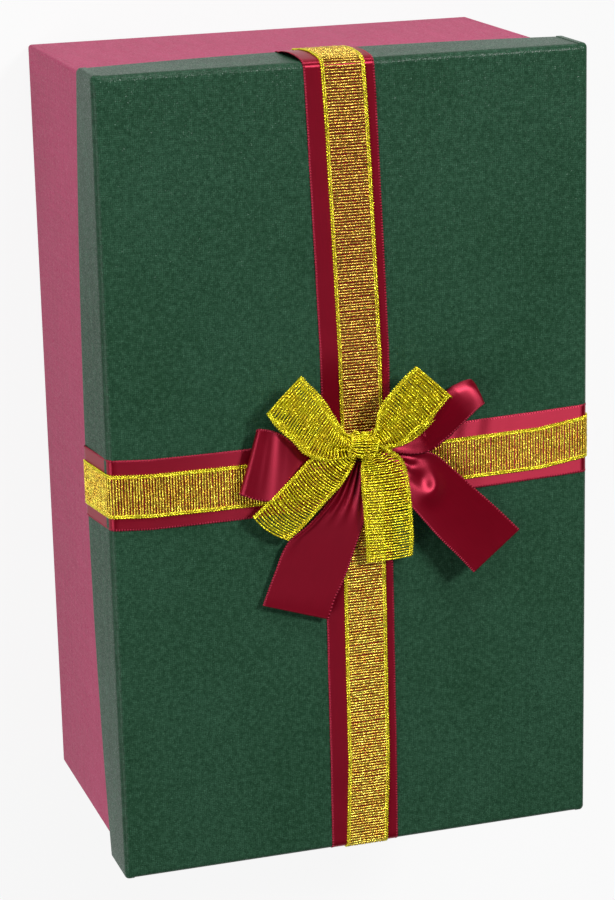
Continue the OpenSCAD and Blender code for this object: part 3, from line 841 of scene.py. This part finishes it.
GOLD_TAIL_RIGHT = [
    (5.2, 12, 10, 1.6, 9, 8.4), (8.1, 9.7, 10, 1.3, 6.4, 8), (11, 7.7, 9.8, 0.6, 5, 7.8),
    (13.8, 5.4, 9.2, 0.1, 3.1, 7.6), (15.8, 2.4, 8.6, -0.1, 0.9, 7.4), (17.1, -1.2, 8, 0.1, -2.1, 7.2),
    (17.9, -5.9, 7.8, 0.3, -6.3, 7), (18.6, -11.7, 7.4, 0.8, -12, 6.6), (19.3, -19, 6.8, 1.4, -19.3, 6),
    (19.9, -26.8, 5.8, 2.1, -27.1, 5.2), (19.7, -33.8, 4.8, 2.5, -34.4, 4.6),
]
GOLD_LOOP_LEFT = [
    (-2.8, 7.2, 8, -4.2, 14.6, 10.6), (-7.4, 6.7, 8.4, -6.4, 16.1, 11),
    (-13, 6.4, 8.8, -8.1, 18.6, 11.2), (-19.4, 8.6, 9.2, -10.3, 22.2, 11.4),
    (-23.8, 13, 9.6, -13.5, 27.8, 11.6), (-28.5, 17.9, 9.8, -17.2, 32.8, 11.6),
    (-32.7, 22.5, 9.8, -20.5, 36.3, 11.2), (-34.5, 25.6, 8.8, -22, 38.1, 10),
    (-34, 25.1, 7.6, -22.4, 37, 8.8), (-30.9, 20.2, 7.2, -19.6, 33, 8.4),
    (-25.1, 14.5, 7, -14.6, 27.4, 8.2), (-19.8, 8.6, 7, -10.7, 21.2, 8.2),
    (-11.4, 6.9, 7.2, -7.2, 16.6, 8.4), (-2.9, 7.8, 7.4, -3.6, 13.3, 8.6),
]
GOLD_LOOP_RIGHT = [
    (-0.9, 14.3, 10.6, 3.4, 7.8, 8.6), (3.4, 14.8, 11, 8.1, 9.4, 9), (4.5, 18.2, 11.2, 11.3, 8.8, 9.4),
    (5, 21.7, 11.4, 15, 10.1, 9.6), (6.9, 26, 11.6, 19.5, 13.7, 9.8),
    (11.2, 30.7, 11.6, 24.1, 16.9, 10), (15.9, 35, 11.2, 29.1, 21.5, 10), (20.1, 37.4, 10, 33.4, 25, 9),
    (20.3, 36.9, 8.8, 34.3, 24.1, 7.8), (17.2, 33.6, 8.4, 30.8, 19.6, 7.4),
    (12, 28.7, 8.2, 25.3, 14.1, 7.2), (7.5, 23.3, 8.2, 18.6, 9.4, 7), (5.4, 16.7, 8.4, 11.8, 7.9, 7),
    (0.1, 12.9, 8.6, 4.5, 7.7, 7.4),
]


def knot_surface():
    """The gold ribbon rolled once over the waist, gathered to a narrow crumpled band."""
    tilt, count = math.radians(-5), 90
    axis = np.array([math.cos(tilt), math.sin(tilt), 0])
    outward = np.array([-math.sin(tilt), math.cos(tilt), 0])
    turn = np.linspace(0, 2 * np.pi, count)[:, None, None]
    v = np.linspace(0, 1, 41)[None, :, None]
    radius = 3.1 + 1.3 * np.sin(np.pi * v) ** 0.6
    radius = radius + 0.35 * np.sin(2 * turn + 12 * v) + 0.32 * np.sin(3 * turn - 17 * v + 1)
    radius = radius + 0.28 * np.sin(26 * v + turn + 0.6) + 0.15 * np.sin(5 * turn + 9 * v)
    way = outward * np.cos(turn) + np.array([0, 0, 0.88]) * np.sin(turn)
    place = (v - 0.5) * 10.5 + 0.3 * np.sin(2 * turn + 20 * v)
    points = np.array(KNOT_AT) + axis * place + way * radius
    points[..., 2] += FACE_Z
    return Surface(points)


def build_waist():
    """The red ribbon drawn together into pleats, and the thread that binds it."""
    x = np.linspace(-7, 7, 41)[:, None]
    turn = np.linspace(0, 2 * np.pi, 108, endpoint=False)[None, :]
    pleat = 0.35 * np.cos(9 * turn + 0.05 * x)
    axis_z = FACE_Z + WAIST_UP
    y = WAIST_Y + (3.2 + 0.035 * x**2 + pleat) * np.cos(turn)
    z = axis_z + (1.7 + 0.02 * x**2 + pleat * 0.4) * np.sin(turn)
    points = np.stack([x + 0 * turn, y, np.maximum(z, FACE_Z + 1.5)], -1)
    columns = points.shape[1]
    middle = np.array([[[x[0, 0], WAIST_Y, axis_z]], [[x[-1, 0], WAIST_Y, axis_z]]])
    caps = [points[:1] * share + middle[:1] * (1 - share) for share in (0.02, 0.5)]
    caps += [points] + [points[-1:] * share + middle[1:] * (1 - share) for share in (0.5, 0.02)]
    closed = np.concatenate(caps)
    uv = np.stack([np.broadcast_to(turn * 4, closed.shape[:2]), closed[..., 0]], -1).reshape(-1, 2)
    faces = grid_faces(len(closed), columns, wrap=True)[:, ::-1]
    waist = (closed.reshape(-1, 3), faces, 0)
    make_piece("satin_waist", [waist], [SATIN], "lid", ["red_waist"], uv)
    t = np.linspace(0, 6 * np.pi, 220)[None, :]
    centre = np.stack([
        -0.8 + 1.6 * t / t.max(), WAIST_Y + 3.75 * np.cos(t), axis_z + 2.05 * np.sin(t)], -1)
    side = np.broadcast_to([1.0, 0, 0], centre.shape)
    normal = np.stack([0 * t, np.cos(t), np.sin(t)], -1)
    size = np.full(t.shape, 0.2)
    thread = (*tubes(centre, side, normal, size, size, 0 * t, 6), 0)
    make_piece("binding_thread", [thread], [THREAD], "lid", ["waist_thread"])


def build_bow():
    """Two satin loops and tails, then two gold loops and tails with their knot on top."""
    def ring_pleat(u, v):
        """A short pleat by the right tail's root that ends in an oval pucker."""
        x, y = (u - 0.35) / 0.1, (v - 0.5) / 0.2
        far = np.sqrt(x**2 + y**2)
        return 1.45 * np.exp(-((far - 1) / 0.65) ** 2) * (0.55 + 0.45 * np.clip(x + 0.2 * y, -1, 1))

    def rolled_edge(u, v):
        """A raised pleat along the left tail's upper left part."""
        return 1.5 * np.exp(-((v - 0.07) / 0.05) ** 2) * np.clip(1.4 - 2 * u, 0, 1)

    surface = ribbon_surface(RED_TAIL_LEFT, RED_W, 4, 0.0, 0.5, shape=rolled_edge)
    satin_ribbon("satin_tail_left", surface, RED_W, ["red_tail_left"], 0.6)
    surface = ribbon_surface(RED_TAIL_RIGHT, RED_W, 5, 0.0, 0.35, shape=ring_pleat)
    satin_ribbon("satin_tail_right", surface, RED_W, ["red_tail_right"], 0.6)
    surface = ribbon_surface(RED_LOOP_LEFT, RED_W, 6, 0.3, 0.4, True)
    satin_ribbon("satin_loop_left", surface, RED_W, ["red_loop_left"], 0.5)
    visible = [(0, 5.0), (0.3, 7.5), (0.6, 11.5), (0.75, 13.2), (0.88, 12.2), (1, 9.6)]
    surface = rolled_loop(RED_LOOP_RIGHT_EDGE, visible, (1.4, 2.2), RED_W)
    satin_ribbon("satin_loop_right", surface, RED_W, ["red_loop_right"], 0.5)
    surface = ribbon_surface(GOLD_TAIL_LEFT, GOLD_W, 3, 0.8, 0.35)
    gold_ribbon("lurex_tail_left", surface, GOLD_W, ["gold_tail_left"], 1.4)
    surface = ribbon_surface(GOLD_TAIL_RIGHT, GOLD_W, 3, 0.8, 0.35)
    gold_ribbon("lurex_tail_right", surface, GOLD_W, ["gold_tail_right"], 0.4)
    surface = ribbon_surface(GOLD_LOOP_LEFT, GOLD_W, 2, 1.0, 0.6, True)
    gold_ribbon("lurex_loop_left", surface, GOLD_W, ["gold_loop_left"], 0.6)
    surface = ribbon_surface(GOLD_LOOP_RIGHT, GOLD_W, 2, 1.0, 0.6, True)
    gold_ribbon(
        "lurex_loop_right", surface, GOLD_W, ["gold_loop_right"], 0.4)
    gold_ribbon("lurex_knot", knot_surface(), GOLD_W, ["gold_knot"])


build_waist()
build_bow()


# ---- Room: floor, lamps and camera ----

def build_floor():
    """A large pale floor. Seen directly or in a reflection it is nearly white and keeps its shadow."""
    m = Nodes("white_floor", roughness=0.9, specular_ior_level=0.0, base_color=srgb(205, 205, 205))
    path = m.add("ShaderNodeLightPath")
    seen = m.maths("MAXIMUM", path.outputs["Is Camera Ray"],
                   m.maths("MAXIMUM", path.outputs["Is Glossy Ray"], path.outputs["Is Transmission Ray"]))
    white = m.add("ShaderNodeEmission", {"Color": (1, 1, 1, 1), "Strength": 1.0}).outputs[0]
    # The rest is the floor's own shading, which carries the object's shadow
    share = m.maths("MULTIPLY", seen, 0.9)
    mixed = m.add("ShaderNodeMixShader", {0: share, 1: m.shader.outputs[0], 2: white}).outputs[0]
    m.tree.links.new(mixed, m.tree.nodes["Material Output"].inputs["Surface"])
    mesh = bpy.data.meshes.new("floor")
    far = 12.0
    mesh.from_pydata([(-far, -far, 0), (far, -far, 0), (far, far, 0), (-far, far, 0)], [], [(0, 1, 2, 3)])
    mesh.materials.append(m.material)
    floor = bpy.data.objects.new("floor", mesh)
    bpy.context.scene.collection.objects.link(floor)
    just_below = 0.0004
    floor.location.z = -just_below


def add_lamp(name, at, towards, size, power):
    """A rectangular area lamp, in metres and watts, aimed at a point."""
    data = bpy.data.lights.new(name, "AREA")
    data.shape = "RECTANGLE"
    data.size, data.size_y = size
    data.energy = power
    lamp = bpy.data.objects.new(name, data)
    bpy.context.scene.collection.objects.link(lamp)
    lamp.location = at
    lamp.rotation_mode = "QUATERNION"
    lamp.rotation_quaternion = (Vector(towards) - Vector(at)).to_track_quat("-Z", "Y")


def build_camera():
    """The camera, in metres, turned a little about its own axis."""
    at, aim = Vector((-0.3012, 0.2781, 1.0127)), Vector((-0.0173, 0.0085, 0.112))
    roll = math.radians(-1.34)
    back = (at - aim).normalized()
    right = Vector((0, 1, 0)).cross(back).normalized()
    up = back.cross(right)
    turned = right * math.cos(roll) + up * math.sin(roll)
    up = back.cross(turned)
    data = bpy.data.cameras.new("camera")
    data.lens = 111.4
    camera = bpy.data.objects.new("camera", data)
    bpy.context.scene.collection.objects.link(camera)
    camera.matrix_world = Matrix((
        (turned.x, up.x, back.x, at.x), (turned.y, up.y, back.y, at.y),
        (turned.z, up.z, back.z, at.z), (0, 0, 0, 1),
    ))
    bpy.context.scene.camera = camera


def build_room():
    """Floor, three lamps and a dim white world."""
    build_floor()
    middle = (0, 0, 0.1)
    add_lamp("key", (0.82, 0.94, 1.61), middle, (0.4, 0.4), 27.0)
    add_lamp("fill", (-1.6, -0.4, 1.0), middle, (1.2, 1.2), 19.0)
    add_lamp("back", (0.1, 1.8, 0.8), middle, (0.8, 0.5), 14.0)
    world = bpy.data.worlds.new("studio")
    world.use_nodes = True
    world.node_tree.nodes["Background"].inputs["Color"].default_value = (1, 1, 1, 1)
    world.node_tree.nodes["Background"].inputs["Strength"].default_value = 0.1
    bpy.context.scene.world = world
    bpy.context.scene.view_settings.view_transform = "Standard"


build_camera()
build_room()
